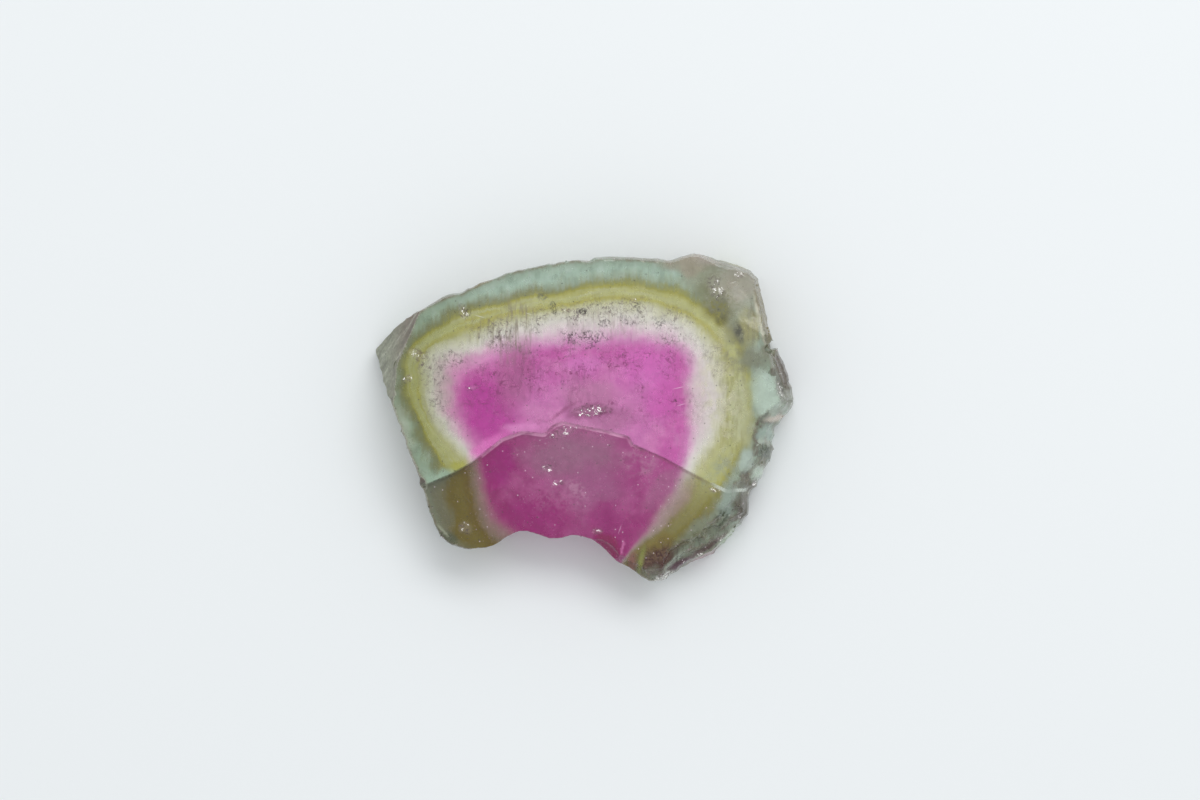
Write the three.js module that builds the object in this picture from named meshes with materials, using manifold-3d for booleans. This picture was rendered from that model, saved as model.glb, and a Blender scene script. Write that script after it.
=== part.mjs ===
// Slice of a watermelon tourmaline crystal, in millimetres, +Z up.
//
// The crystal was sawn across its length, so the slice has two flat faces, and its rim is the outside
// of the crystal: prism faces with fine ridges along Z, weathered ground on the right, and a broken
// foot below. The slice lies on its sawn back. The origin is at the centre of its footprint.

import * as THREE from 'three';
import { mergeVertices } from 'three/addons/utils/BufferGeometryUtils.js';
import Module from 'manifold-3d';

const wasm = await Module();
wasm.setup();

// Driving dimensions
const THICKNESS = 3.0;
const RIM_STEP = 0.27;          // spacing of the points along the rim
const NORMAL_REACH = 3;         // rim points each way that set the direction of the wall
const BLEND_PASSES = 4;         // how softly one kind of wall runs into the next

// Growth ridges along the rim: uneven, because crystals of a bundle grow at their own pace
const RIDGE_WAVES = [
  { height: 0.55, pitch: 0.62, shift: 0 },
  { height: 0.3, pitch: 1.45, shift: 1.3 },
  { height: 0.3, pitch: 2.9, shift: 4.1 },
];

// Heights of the rings that the rim wall is built from, from the back to the front
const LEVELS = [0, 0.35, 1.0, 1.6, 1.9, 2.3, 2.45, 2.75, 3.0];

// Kinds of wall. inset is how far the wall stands inside the outline at each level, and ridge is the
// height of the growth ridges.
const WALLS = {
  prism: { ridge: 0.045, inset: [0.05, 0, 0, 0, 0, 0.01, 0.02, 0.05, 0.12] },
  bevelled: { ridge: 0.03, inset: [0.06, 0, 0, 0.03, 0.1, 0.19, 0.22, 0.33, 0.42] },
  rounded: { ridge: 0.02, inset: [0.18, 0.04, 0, 0, 0.02, 0.07, 0.11, 0.22, 0.42] },
  columns: { ridge: 0.11, inset: [0.1, 0, 0.02, 0.12, 0.25, 0.42, 0.5, 0.75, 0.95] },
  weathered: { ridge: 0.06, inset: [0.15, 0, 0.03, 0.15, 0.3, 0.4, 0.48, 0.62, 0.75] },
  terraced: { ridge: 0.05, inset: [0.1, 0, 0.12, 0.2, 0.55, 0.66, 0.98, 1.1, 1.25] },
  broken: { ridge: 0, inset: [0.5, 0.32, 0.1, 0.02, 0, 0, 0, 0.02, 0.07] },
  flaked: { ridge: 0, inset: [0.06, 0, 0, 0, 0.03, 0.06, 0.08, 0.14, 0.22] },
};

// The outline seen from the front, clockwise from the left tip. Each stretch is one smooth curve, it
// starts where the one before it ends, and the corners between stretches stay sharp.
const RIM = [
  { wall: 'prism', path: [[-9.4, 3.06], [-8.78, 3.73], [-7.96, 4.43], [-6.79, 5.17]] },
  { wall: 'flaked', path: [[-6.79, 5.17], [-6.08, 5.57], [-5.42, 5.66]] },
  { wall: 'prism', path: [[-5.42, 5.66], [-4.18, 6.22], [-2.52, 6.71], [-0.63, 7.05], [0.25, 7.05]] },
  { wall: 'flaked', path: [[0.25, 7.05], [0.58, 7.24], [1.8, 7.25], [3.38, 7.15], [3.82, 7.08]] },
  { wall: 'flaked', path: [[3.82, 7.08], [4.41, 7.28], [5.04, 7.39], [5.74, 7.2]] },
  { wall: 'bevelled', path: [[5.74, 7.2], [7.33, 6.73], [7.81, 6.25]] },
  { wall: 'bevelled', path: [[7.81, 6.25], [8.01, 5.42], [8.47, 3.46]] },
  { wall: 'flaked', path: [[8.47, 3.46], [8.28, 3.13], [8.7, 3.19]] },
  { wall: 'weathered', path: [[8.7, 3.19], [9.19, 2.02], [9.45, 0.93], [9.34, 0.4], [8.76, -0.26]] },
  { wall: 'columns', path: [[8.76, -0.26], [8.54, -1.07], [8.39, -1.75], [8.12, -2.5], [7.47, -3.55]] },
  { wall: 'columns', path: [[7.47, -3.55], [7.49, -3.78], [7.4, -4.25], [7.11, -4.81]] },
  { wall: 'terraced', path: [[7.11, -4.81], [6.43, -5.52], [5.88, -6.08], [4.75, -6.57], [3.73, -7.25]] },
  { wall: 'rounded', path: [[3.73, -7.25], [3.23, -7.33], [2.75, -7.2], [1.86, -6.61]] },
  { wall: 'broken', path: [[1.86, -6.61], [1.38, -6.29], [0.4, -5.42], [-0.52, -5.2]] },
  { wall: 'broken', path: [[-0.52, -5.2], [-0.99, -5.33], [-1.5, -5.34], [-1.98, -5.18]] },
  { wall: 'broken', path: [[-1.98, -5.18], [-2.81, -5.01], [-3.55, -5.38]] },
  { wall: 'broken', path: [[-3.55, -5.38], [-4.09, -5.69], [-5.13, -5.89]] },
  { wall: 'rounded', path: [[-5.13, -5.89], [-6.03, -5.62], [-6.66, -4.86], [-7.2, -3.19]] },
  { wall: 'flaked', path: [[-7.2, -3.19], [-7.4, -2.92], [-7.37, -2.68]] },
  { wall: 'prism', path: [[-7.37, -2.68], [-8.09, -0.71], [-8.59, 0.6], [-9.4, 3.06]] },
];

// The fracture that crosses the face, from the left rim to the right one
const FRACTURE = [
  [-7.34, -2.81], [-6.95, -2.93], [-5.82, -2.45], [-4.93, -1.94], [-3.61, -0.9], [-2.72, -0.58],
  [-1.76, -0.7], [-1.3, -0.28], [-0.9, -0.17], [0.95, -0.55], [1.98, -0.81], [2.16, -1.15],
  [3.56, -1.75], [5.06, -2.57], [6.33, -3.17], [6.8, -3.13],
];

// The face below the fracture lies lower: this much at the place LEDGE_AT, and more to the left and
// below. The step runs out at the right rim.
const LEDGE_AT = [-0.9, -0.14];
const LEDGE_DROP = 0.2;
const LEDGE_SLOPE = [-0.036, -0.026];

// Flat faces cut off the corners, each by three points of its plane
const TIP_HEIGHT = 0.8;
const FACETS = [
  // Left tip, upper half
  [[-7.24, 4.76, 3], [-8.28, 2.35, 3], [-9.4, 3.06, TIP_HEIGHT]],
  // Left tip, lower half
  [[-8.28, 2.35, 3], [-8.47, 0.2, 3], [-9.4, 3.06, TIP_HEIGHT]],
  // Top right corner
  [[6.55, 7.1, 2.72], [7.95, 5.9, 2.72], [7.4, 6.9, 2.1]],
  // Bottom corner
  [[2.3, -7.0, 2.5], [3.9, -7.1, 2.2], [3.0, -6.5, 2.95]],
];

// Shell-shaped flake scars: centre, radii and turn about Z
const SCARS = [
  // Dished top right corner
  { at: [8.6, 6.2, 9.55], radii: [8.6, 9.4, 6.9], turn: 40 },
  // Flake at the top left edge
  { at: [-6.15, 5.82, 2.95], radii: [0.85, 0.42, 0.8], turn: 20 },
  // Thin flake beside it
  { at: [-4.6, 6.3, 3.05], radii: [1.2, 0.3, 0.45], turn: 24 },
  // Pit at the right notch
  { at: [8.25, 3.1, 2.7], radii: [0.28, 0.2, 0.9], turn: 20 },
  // Right bulge, upper scar
  { at: [8.95, 2.55, 3.05], radii: [0.62, 0.75, 0.95], turn: 25 },
  // Right bulge, middle scar
  { at: [9.3, 1.5, 3.2], radii: [0.75, 0.8, 1.25], turn: 8 },
  // Right bulge, lower scar
  { at: [9.3, 0.45, 2.9], radii: [0.6, 0.55, 0.8], turn: -20 },
  // Ledge under the bulge
  { at: [8.75, -0.42, 3.0], radii: [1.0, 0.26, 0.5], turn: 6 },
  // Right side, upper scar
  { at: [8.45, -1.35, 3.15], radii: [0.6, 0.5, 1.0], turn: 12 },
  // Right side, middle scar
  { at: [8.1, -2.3, 3.2], radii: [0.65, 0.42, 1.1], turn: 18 },
  // Right side, lower scar
  { at: [7.55, -3.2, 3.15], radii: [0.55, 0.4, 0.9], turn: 30 },
  // Scar on the terraces
  { at: [6.6, -5.1, 2.9], radii: [0.95, 0.5, 0.75], turn: 48 },
  // Lower scar on the terraces
  { at: [5.1, -6.3, 2.7], radii: [0.9, 0.45, 0.8], turn: 32 },
  // Spike at the foot, upper scar
  { at: [0.95, -5.95, 3.15], radii: [0.95, 0.5, 0.8], turn: -42 },
  // Spike at the foot, lower scar
  { at: [1.75, -6.7, 2.9], radii: [0.7, 0.4, 0.8], turn: -35 },
  // Flakes off the back of the broken foot
  { at: [-2.9, -7.9, -0.3], radii: [2.4, 3.6, 2.2], turn: 0 },
  { at: [0.3, -8.6, -0.4], radii: [2.9, 4.05, 2.6], turn: 4 },
  // Notch where the fracture meets the left rim
  { at: [-7.5, -2.85, 2.6], radii: [0.5, 0.2, 0.9], turn: 12 },
  // Flake off the back at the top
  { at: [-2.6, 7.15, -0.15], radii: [1.3, 0.7, 0.75], turn: 12 },
  // Flake off the back at the left
  { at: [-8.35, -0.9, -0.1], radii: [0.55, 1.1, 0.7], turn: 18 },
  // Flake off the back at the right
  { at: [8.75, -1.9, -0.1], radii: [0.7, 1.2, 0.8], turn: -14 },
];

const SCAR_DETAIL = 5;          // how often each edge of a scar's icosahedron is divided
const CUTTER_SIZE = 12;         // reach of the blocks that cut away what lies above a plane
const MERGE_REACH = 0.00001;    // corners closer than this are one corner

// A closed three.js geometry as a solid that can be cut
function solid(geometry) {
  const bare = geometry.clone();
  bare.deleteAttribute('normal');
  bare.deleteAttribute('uv');
  const merged = mergeVertices(bare, MERGE_REACH);
  return new wasm.Manifold(new wasm.Mesh({
    numProp: 3,
    vertProperties: new Float32Array(merged.attributes.position.array),
    triVerts: new Uint32Array(merged.index.array),
  }));
}

// A cut solid as a three.js geometry
function geometryOf(body) {
  const mesh = body.getMesh();
  const geometry = new THREE.BufferGeometry();
  geometry.setAttribute('position', new THREE.BufferAttribute(mesh.vertProperties, 3));
  geometry.setIndex(new THREE.BufferAttribute(mesh.triVerts, 1));
  const flat = geometry.toNonIndexed();
  flat.computeVertexNormals();
  return flat;
}

// How far the ridges stand out at a distance along the rim, from about -1 to 1
function ridgeAt(distance) {
  const wave = ({ height, pitch, shift }) => height * Math.sin((2 * Math.PI * distance) / pitch + shift);
  return RIDGE_WAVES.reduce((sum, each) => sum + wave(each), 0);
}

// The rim as evenly spaced points, each with the inset of its wall at every level
function rimPoints() {
  const points = [];
  let travelled = 0;
  for (const stretch of RIM) {
    const wall = WALLS[stretch.wall];
    const curve = new THREE.SplineCurve(stretch.path.map(([x, y]) => new THREE.Vector2(x, y)));
    const length = curve.getLength();
    const count = Math.max(2, Math.round(length / RIM_STEP));
    for (let i = 0; i < count; i += 1) {
      const at = curve.getPointAt(i / count);
      const ridge = wall.ridge * ridgeAt(travelled + (length * i) / count);
      points.push({ at, ridge, inset: wall.inset });
    }
    travelled += length;
  }
  return points;
}

// Softens the change from one kind of wall to the next
function blendInsets(points) {
  let insets = points.map((point) => point.inset);
  for (let pass = 0; pass < BLEND_PASSES; pass += 1) {
    insets = insets.map((inset, i) => {
      const before = insets[(i + insets.length - 1) % insets.length];
      const after = insets[(i + 1) % insets.length];
      return inset.map((value, level) => (before[level] + 2 * value + after[level]) / 4);
    });
  }
  return insets;
}

// Direction out of the stone at each point of the rim
function rimNormals(points) {
  return points.map((point, i) => {
    const before = points[(i + points.length - NORMAL_REACH) % points.length].at;
    const after = points[(i + NORMAL_REACH) % points.length].at;
    const along = after.clone().sub(before).normalize();
    return new THREE.Vector2(-along.y, along.x);
  });
}

// The slab between the two sawn faces, with the wall of each stretch set in by its own profile
function slab() {
  const points = rimPoints();
  const insets = blendInsets(points);
  const normals = rimNormals(points);
  const outline = new THREE.Shape(points.map((point) => point.at));
  const steps = LEVELS.length - 1;
  const geometry = new THREE.ExtrudeGeometry(outline, { depth: steps, steps, bevelEnabled: false });

  const position = geometry.attributes.position;
  for (let v = 0; v < position.count; v += 1) {
    const i = nearest(points, new THREE.Vector2(position.getX(v), position.getY(v)));
    const level = Math.round(position.getZ(v));
    const out = points[i].ridge - insets[i][level];
    const x = points[i].at.x + normals[i].x * out;
    const y = points[i].at.y + normals[i].y * out;
    position.setXYZ(v, x, y, LEVELS[level]);
  }
  return solid(geometry);
}

// Which rim point a corner of the slab belongs to
function nearest(points, place) {
  let best = 0;
  for (let i = 1; i < points.length; i += 1) {
    if (points[i].at.distanceToSquared(place) < points[best].at.distanceToSquared(place)) {
      best = i;
    }
  }
  return best;
}

// What lies above the plane through three points, as a block
function abovePlane([a, b, c]) {
  const corner = new THREE.Vector3(...a);
  const u = new THREE.Vector3(...b).sub(corner);
  const v = new THREE.Vector3(...c).sub(corner);
  const up = new THREE.Vector3().crossVectors(u, v).normalize();
  if (up.z < 0) {
    up.negate();
  }
  const block = new THREE.BoxGeometry(CUTTER_SIZE, CUTTER_SIZE, CUTTER_SIZE);
  block.translate(0, 0, CUTTER_SIZE / 2);
  const turn = new THREE.Quaternion().setFromUnitVectors(new THREE.Vector3(0, 0, 1), up);
  block.applyQuaternion(turn);
  block.translate(corner.x, corner.y, corner.z);
  return solid(block);
}

// A flake scar's hollow
function scar({ at, radii, turn }) {
  const shell = new THREE.IcosahedronGeometry(1, SCAR_DETAIL);
  shell.scale(...radii);
  shell.rotateZ(THREE.MathUtils.degToRad(turn));
  shell.translate(...at);
  return solid(shell);
}

// What the fracture took off the lower half of the face
function aboveLedge() {
  const reach = CUTTER_SIZE;
  const [right, left] = [FRACTURE[FRACTURE.length - 1], FRACTURE[0]];
  const outline = new THREE.Shape([
    ...FRACTURE.map(([x, y]) => new THREE.Vector2(x, y)),
    new THREE.Vector2(reach, right[1]),
    new THREE.Vector2(reach, -reach),
    new THREE.Vector2(-reach, -reach),
    new THREE.Vector2(-reach, left[1]),
  ]);
  const block = new THREE.ExtrudeGeometry(outline, { depth: 1, bevelEnabled: false });
  const position = block.attributes.position;
  for (let v = 0; v < position.count; v += 1) {
    const top = position.getZ(v) > 0.5;
    const slopeX = LEDGE_SLOPE[0] * (position.getX(v) - LEDGE_AT[0]);
    const slopeY = LEDGE_SLOPE[1] * (position.getY(v) - LEDGE_AT[1]);
    const floor = THICKNESS - LEDGE_DROP - slopeX - slopeY;
    position.setZ(v, top ? floor + THICKNESS : floor);
  }
  return solid(block);
}

// The whole slice, moved so that its footprint is centred on the origin
function sliceGeometry() {
  let body = slab().subtract(aboveLedge());
  for (const points of FACETS) {
    body = body.subtract(abovePlane(points));
  }
  for (const one of SCARS) {
    body = body.subtract(scar(one));
  }
  const geometry = geometryOf(body);
  geometry.computeBoundingBox();
  const centre = geometry.boundingBox.getCenter(new THREE.Vector3());
  geometry.translate(-centre.x, -centre.y, -geometry.boundingBox.min.z);
  return geometry;
}

const stone = new THREE.Mesh(
  sliceGeometry(),
  new THREE.MeshStandardMaterial({ color: 0xb57a9c, roughness: 0.25, metalness: 0 }),
);
stone.name = 'tourmaline_slice';

const crystal = new THREE.Group();
crystal.name = 'watermelon_tourmaline';
crystal.add(stone);

export default crystal;
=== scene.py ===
# Slice of a watermelon tourmaline crystal, lying on its sawn back on pale paper.

import math
import random

import bpy
import numpy as np
from mathutils import Matrix, Vector, kdtree
from mathutils.noise import seed_set, turbulence_vector


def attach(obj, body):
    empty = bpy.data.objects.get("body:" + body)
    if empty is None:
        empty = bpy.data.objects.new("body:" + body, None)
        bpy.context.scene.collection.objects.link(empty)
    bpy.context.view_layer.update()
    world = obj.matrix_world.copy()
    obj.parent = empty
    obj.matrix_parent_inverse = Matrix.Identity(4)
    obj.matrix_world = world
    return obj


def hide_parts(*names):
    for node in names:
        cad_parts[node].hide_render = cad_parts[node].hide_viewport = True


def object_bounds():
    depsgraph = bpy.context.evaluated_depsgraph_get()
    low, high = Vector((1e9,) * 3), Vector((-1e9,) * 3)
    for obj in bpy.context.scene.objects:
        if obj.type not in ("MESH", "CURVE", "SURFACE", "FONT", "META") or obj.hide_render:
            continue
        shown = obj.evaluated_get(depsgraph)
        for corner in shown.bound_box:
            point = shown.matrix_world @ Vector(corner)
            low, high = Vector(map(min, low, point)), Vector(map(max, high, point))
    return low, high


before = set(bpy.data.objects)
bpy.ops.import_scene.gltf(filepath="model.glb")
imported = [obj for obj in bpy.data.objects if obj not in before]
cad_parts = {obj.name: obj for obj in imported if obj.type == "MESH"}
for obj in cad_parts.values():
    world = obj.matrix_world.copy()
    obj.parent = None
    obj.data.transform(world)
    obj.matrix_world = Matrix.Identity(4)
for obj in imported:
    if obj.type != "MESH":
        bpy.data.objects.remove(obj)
cad_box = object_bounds()

# The stone
# One natural crystal, sawn across its length and broken along its lower side. It starts from the
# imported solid, is worked in millimetres, and gets its small chips, its grown ridges and its weathered
# ground before it is brought back to metres.

MM = 0.001
MERGE_REACH = 0.0005            # mm, what counts as one point of the solid
VOXEL = 0.06                    # mm, the finest form of the surface
ADAPTIVITY = 0.02               # mm, how much the flat faces are thinned out
RIM_ANGLE = math.radians(35)    # how sharp an edge is to be chipped
FRONT_HEIGHT = 2.0              # mm, above which an edge belongs to the front
RIGHT_SIDE = 6.3                # mm, where the weathered side starts
NOTCH = 3.4                     # mm, how high up it goes
LEAN = -2.0                     # mm, below which it leans inwards
RIM_ACROSS, RIM_UP = 6.6, 4.0   # mm from the middle of the rim, past which an edge isn't the fracture's
RIM_MIDDLE = -0.3               # mm, how high that middle is

# Chips along the front's edge: how many, the cutter's smallest and largest radius, and how deep it goes
CHIPS_RIGHT = (30, 0.4, 1.1, 0.13)
CHIPS_ELSEWHERE = (34, 0.2, 0.5, 0.05)
MEAN_REACH = 0.88               # of a cutter's radius, between its flat sides' distance and its corners'


def activate(thing):
    """Makes one thing the selected and active one."""
    bpy.ops.object.select_all(action="DESELECT")
    thing.select_set(True)
    bpy.context.view_layer.objects.active = thing


def apply_modifier(thing, kind, **settings):
    """Adds a modifier, sets it and applies it."""
    modifier = thing.modifiers.new(kind.title(), kind)
    for name, value in settings.items():
        setattr(modifier, name, value)
    activate(thing)
    bpy.ops.object.modifier_apply(modifier=modifier.name)


def positions(mesh):
    """The mesh's points as an array."""
    places = np.empty(len(mesh.vertices) * 3, np.float32)
    mesh.vertices.foreach_get("co", places)
    return places.reshape(-1, 3).astype(float)


def normals(mesh):
    """The directions out of the mesh at its points, as an array."""
    directions = np.empty(len(mesh.vertices) * 3, np.float32)
    mesh.vertices.foreach_get("normal", directions)
    return directions.reshape(-1, 3).astype(float)


def fade(values, low, high):
    """0 below low, 1 above high, and a soft step between them."""
    t = np.clip((values - low) / (high - low), 0, 1)
    return t * t * (3 - 2 * t)


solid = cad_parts["tourmaline_slice"]
stone = bpy.data.objects.new("watermelon_tourmaline", solid.data.copy())
bpy.context.scene.collection.objects.link(stone)
stone.data.transform(Matrix.Scale(1 / MM, 4))
activate(stone)
bpy.ops.object.mode_set(mode="EDIT")
bpy.ops.mesh.select_all(action="SELECT")
bpy.ops.mesh.remove_doubles(threshold=MERGE_REACH)
bpy.ops.mesh.select_all(action="DESELECT")
bpy.ops.mesh.edges_select_sharp(sharpness=RIM_ANGLE)
bpy.ops.object.mode_set(mode="OBJECT")


def on_weathered_side(place):
    """Whether a place on the front's edge is at the weathered right side."""
    return place.y < NOTCH and place.x > RIGHT_SIDE + min(0, place.y - LEAN)


def on_other_rim(place):
    """Whether it is at the rim and well away from the weathered side."""
    at_rim = abs(place.x) > RIM_ACROSS or abs(place.y - RIM_MIDDLE) > RIM_UP
    return at_rim and (place.x < RIGHT_SIDE - 1 or place.y > NOTCH + 0.4)


front_edge = [v.co.copy() for v in stone.data.vertices if v.select and v.co.z > FRONT_HEIGHT]
right_edge = list(filter(on_weathered_side, front_edge))
other_edge = list(filter(on_other_rim, front_edge))


def chip(place, radius, depth, chance):
    """A many-sided block outside the edge that reaches into it by about the depth of one chip."""
    outwards = Vector((place.x, place.y, 0)).normalized() + Vector((0, 0, chance.uniform(0.3, 1.3)))
    centre = place + outwards.normalized() * (MEAN_REACH * radius - depth)
    bpy.ops.mesh.primitive_ico_sphere_add(subdivisions=1, radius=radius, location=centre)
    block = bpy.context.active_object
    block.scale = [chance.uniform(0.9, 1.1) for _ in range(3)]
    block.rotation_euler = [chance.uniform(0, math.tau) for _ in range(3)]
    return block


def take_chips(places, count, smallest, largest, depth, seed):
    """Cuts small chips out of the stone at some of the places."""
    chance = random.Random(seed)
    for _ in range(count):
        place = chance.choice(places)
        block = chip(place, chance.uniform(smallest, largest), chance.uniform(0.3, 1) * depth, chance)
        apply_modifier(stone, "BOOLEAN", operation="DIFFERENCE", object=block, solver="EXACT")
        bpy.data.objects.remove(block)


take_chips(right_edge, *CHIPS_RIGHT, seed=4)
take_chips(other_edge, *CHIPS_ELSEWHERE, seed=9)
apply_modifier(stone, "REMESH", mode="VOXEL", voxel_size=VOXEL, adaptivity=ADAPTIVITY)

# Each relief lies on its own part of the surface: its texture, size in mm, depth in mm, and how far the
# texture is drawn out along the crystal's length
RELIEFS = [
    {"part": "walls", "texture": "CLOUDS", "size": 0.16, "depth": 0.05, "draw_out": 30},
    {"part": "walls", "texture": "CLOUDS", "size": 0.55, "depth": 0.07, "draw_out": 14},
    {"part": "weathered", "texture": "VORONOI", "size": 0.7, "depth": 0.1, "draw_out": 6},
    {"part": "weathered", "texture": "CLOUDS", "size": 0.16, "depth": 0.03, "draw_out": 8},
    {"part": "broken", "texture": "CLOUDS", "size": 0.9, "depth": 0.08, "draw_out": 1},
]


def parts_of_surface(mesh):
    """How far each point belongs to the grown walls, the weathered side and the broken foot.

    The places are in mm. The weathered side leans inwards by a quarter of the way down from the middle.
    """
    x, y, z = positions(mesh).T
    upright = 1 - fade(np.abs(normals(mesh)[:, 2]), 0.55, 0.92)
    right = fade(x - 0.25 * np.clip(y, -9, 0), 6.9, 7.7) * (1 - fade(y, 2.5, 3.0))
    foot = fade(-y, 4.4, 5.0) * fade(x, -5.2, -4.6) * (1 - fade(x, 1.3, 2.0))
    off_back = fade(z, 0.02, 0.3)
    return {
        "walls": upright * (1 - foot) * (1 - right) * off_back,
        "weathered": right * (1 - fade(normals(mesh)[:, 2], 0.9, 0.99)) * off_back,
        "broken": upright * foot * off_back,
    }


def set_group(thing, name, weights, steps=50):
    """A vertex group with a weight for each point, in steps of a fiftieth."""
    group = thing.vertex_groups.new(name=name)
    levels = np.round(weights * steps).astype(int)
    for level in np.unique(levels[levels > 0]):
        group.add(np.flatnonzero(levels == level).tolist(), float(level) / steps, "REPLACE")


for name, weights in parts_of_surface(stone.data).items():
    set_group(stone, name, weights)

for number, relief in enumerate(RELIEFS):
    texture = bpy.data.textures.new(f"{relief['part']}_relief_{number}", relief["texture"])
    texture.noise_scale = relief["size"]
    if relief["texture"] == "VORONOI":
        texture.color_mode = "POSITION"
    lattice = bpy.data.objects.new("texture_lattice", None)
    bpy.context.scene.collection.objects.link(lattice)
    lattice.location = (number, 0, 0)
    lattice.scale = (1, 1, relief["draw_out"])
    bpy.context.view_layer.update()
    apply_modifier(
        stone, "DISPLACE", texture=texture, texture_coords="OBJECT", texture_coords_object=lattice,
        direction="NORMAL", mid_level=1.0, strength=relief["depth"], vertex_group=relief["part"],
    )
    bpy.data.objects.remove(lattice)
stone.vertex_groups.clear()

# The front gets finer faces, so that the markings that are set point by point are sharp
FRONT_STEP = 0.14               # mm, past which an edge of the front is halved
FRONT_PASSES = 3                # how many times the front is gone through for them


def select_long_front_edges(mesh):
    """Selects the edges of the front face that are longer than they may be."""
    for edge in mesh.edges:
        a, b = (mesh.vertices[index].co for index in edge.vertices)
        edge.select = min(a.z, b.z) > FRONT_HEIGHT and (a - b).length > FRONT_STEP


activate(stone)
bpy.ops.object.mode_set(mode="EDIT")
bpy.ops.mesh.select_mode(type="EDGE")
bpy.ops.mesh.select_all(action="DESELECT")
bpy.ops.object.mode_set(mode="OBJECT")
for _ in range(FRONT_PASSES):
    select_long_front_edges(stone.data)
    bpy.ops.object.mode_set(mode="EDIT")
    bpy.ops.mesh.subdivide(number_cuts=1)
    bpy.ops.mesh.select_all(action="SELECT")
    bpy.ops.mesh.quads_convert_to_tris()
    bpy.ops.mesh.select_all(action="DESELECT")
    bpy.ops.object.mode_set(mode="OBJECT")

# Growth zones
# The crystal grew outwards and changed colour as it went: magenta core, pale zone, olive zone and mint
# rind. Each border is a smooth loop in mm, seen from the front. All loops close below the broken foot,
# where the crystal once went on.

# The place of the stone's middle in the measure of the loops
FOOTPRINT_CENTRE = np.array([0.055, 0.033])
CORE_EDGE = [
    (-5.04, -0.32), (-5.56, 0.71), (-5.6, 1.6), (-4.14, 2.4), (-2.07, 2.97), (0.25, 3.16), (2.84, 3.23),
    (4.26, 2.58), (4.58, 0.71), (4.26, -1.87), (2.97, -4.46), (1.93, -5.88), (0.27, -8.06),
    (-2.4, -5.3), (-3.88, -3.81), (-4.38, -2.0),
]
OLIVE_INNER_EDGE = [
    (-5.09, -1.85), (-6.48, -0.32), (-7.04, 1.49), (-6.72, 3.03), (-4.65, 3.74), (-2.33, 4.46),
    (1.54, 5.0), (3.87, 4.65), (5.55, 3.42), (6.2, 1.62), (5.94, -0.58), (4.77, -2.43), (3.48, -4.72),
    (1.93, -6.13), (-0.18, -9.09), (-3.62, -5.6), (-4.53, -4.46), (-4.85, -3.0),
]
OLIVE_OUTER_EDGE = [
    (-5.95, -2.6), (-6.72, -1.35), (-7.82, 1.23), (-7.75, 3.03), (-6.34, 4.2), (-3.88, 5.1),
    (-1.04, 5.62), (1.54, 5.92), (4.13, 5.55), (5.94, 4.46), (7.1, 2.65), (7.42, 0.45), (6.97, -1.62),
    (5.42, -3.94), (3.48, -5.62), (2.32, -6.39), (-0.63, -9.99), (-5.1, -5.8), (-5.75, -4.0),
]
RIND_WIDTH = 2.2                # mm, from the olive zone to the outside
CORE_DEPTH = 4.0                # mm, from the core's edge to its middle
WALL_SLOPE = 0.6                # how far up a wall's direction may point, 1 being straight up

# The fracture across the face, from left to right, in mm. The stone is darker below it.
FRACTURE = [
    (-7.34, -2.81), (-6.95, -2.93), (-5.82, -2.45), (-4.93, -1.94), (-3.61, -0.9), (-2.72, -0.58),
    (-1.76, -0.7), (-1.3, -0.28), (-0.9, -0.17), (0.95, -0.55), (1.98, -0.81), (2.16, -1.15),
    (3.56, -1.75), (5.06, -2.57), (6.33, -3.17), (6.8, -3.13),
]
FRACTURE_REACH = 3.0            # mm, how far its line is carried on past the rim


def smooth_loop(points, chords=8):
    """A closed smooth curve through the points, as short chords."""
    here = np.array(points, float) - FOOTPRINT_CENTRE
    before, after, beyond = (np.roll(here, shift, 0) for shift in (1, -1, -2))
    t = (np.arange(chords) / chords)[:, None, None]
    first, second = after - before, 2 * before - 5 * here + 4 * after - beyond
    third = 3 * here - before - 3 * after + beyond
    curve = here + 0.5 * (first * t + second * t**2 + third * t**3)
    return curve.transpose(1, 0, 2).reshape(-1, 2)


def distance_to(line, places, closed=True):
    """How far each place is from a line of chords."""
    ends = np.roll(line, -1, 0) if closed else line[1:]
    best = np.full(len(places), np.inf)
    for a, b in zip(line, ends):
        along = np.clip((places - a) @ (b - a) / ((b - a) @ (b - a)), 0, 1)
        offset = places - a - along[:, None] * (b - a)
        best = np.minimum(best, np.hypot(offset[:, 0], offset[:, 1]))
    return best


def is_inside(line, places):
    """Which places a closed line goes round."""
    x, y = places.T
    crossings = np.zeros(len(places), int)
    for (ax, ay), (bx, by) in zip(line, np.roll(line, -1, 0)):
        if ay != by:
            crossings += ((ay > y) != (by > y)) & (x < ax + (y - ay) * (bx - ax) / (by - ay))
    return crossings % 2 == 1


def growth_at(places):
    """0 at the outside of the rind, 1, 2 and 3 at the borders inwards, and 4 in the core's middle."""
    outer, inner, core = (smooth_loop(edge) for edge in (OLIVE_OUTER_EDGE, OLIVE_INNER_EDGE, CORE_EDGE))
    to_outer, to_inner, to_core = (distance_to(loop, places) for loop in (outer, inner, core))
    rind = 1 - np.clip(to_outer / RIND_WIDTH, 0, 1)
    olive = 1 + to_outer / (to_outer + to_inner)
    pale = 2 + to_inner / (to_inner + to_core)
    middle = 3 + np.clip(to_core / CORE_DEPTH, 0, 1)
    growth = np.where(is_inside(outer, places), olive, rind)
    growth = np.where(is_inside(inner, places), pale, growth)
    return np.where(is_inside(core, places), middle, growth)


def below_fracture(places):
    """Distance below the fracture in mm, negative above it."""
    line = np.array(FRACTURE) - FOOTPRINT_CENTRE
    left, right = line[0] - (FRACTURE_REACH, 0), line[-1] + (FRACTURE_REACH, 0)
    line = np.vstack([left, line, right])
    under = places[:, 1] < np.interp(places[:, 0], line[:, 0], line[:, 1])
    return np.where(under, 1, -1) * distance_to(line, places, closed=False)


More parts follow.
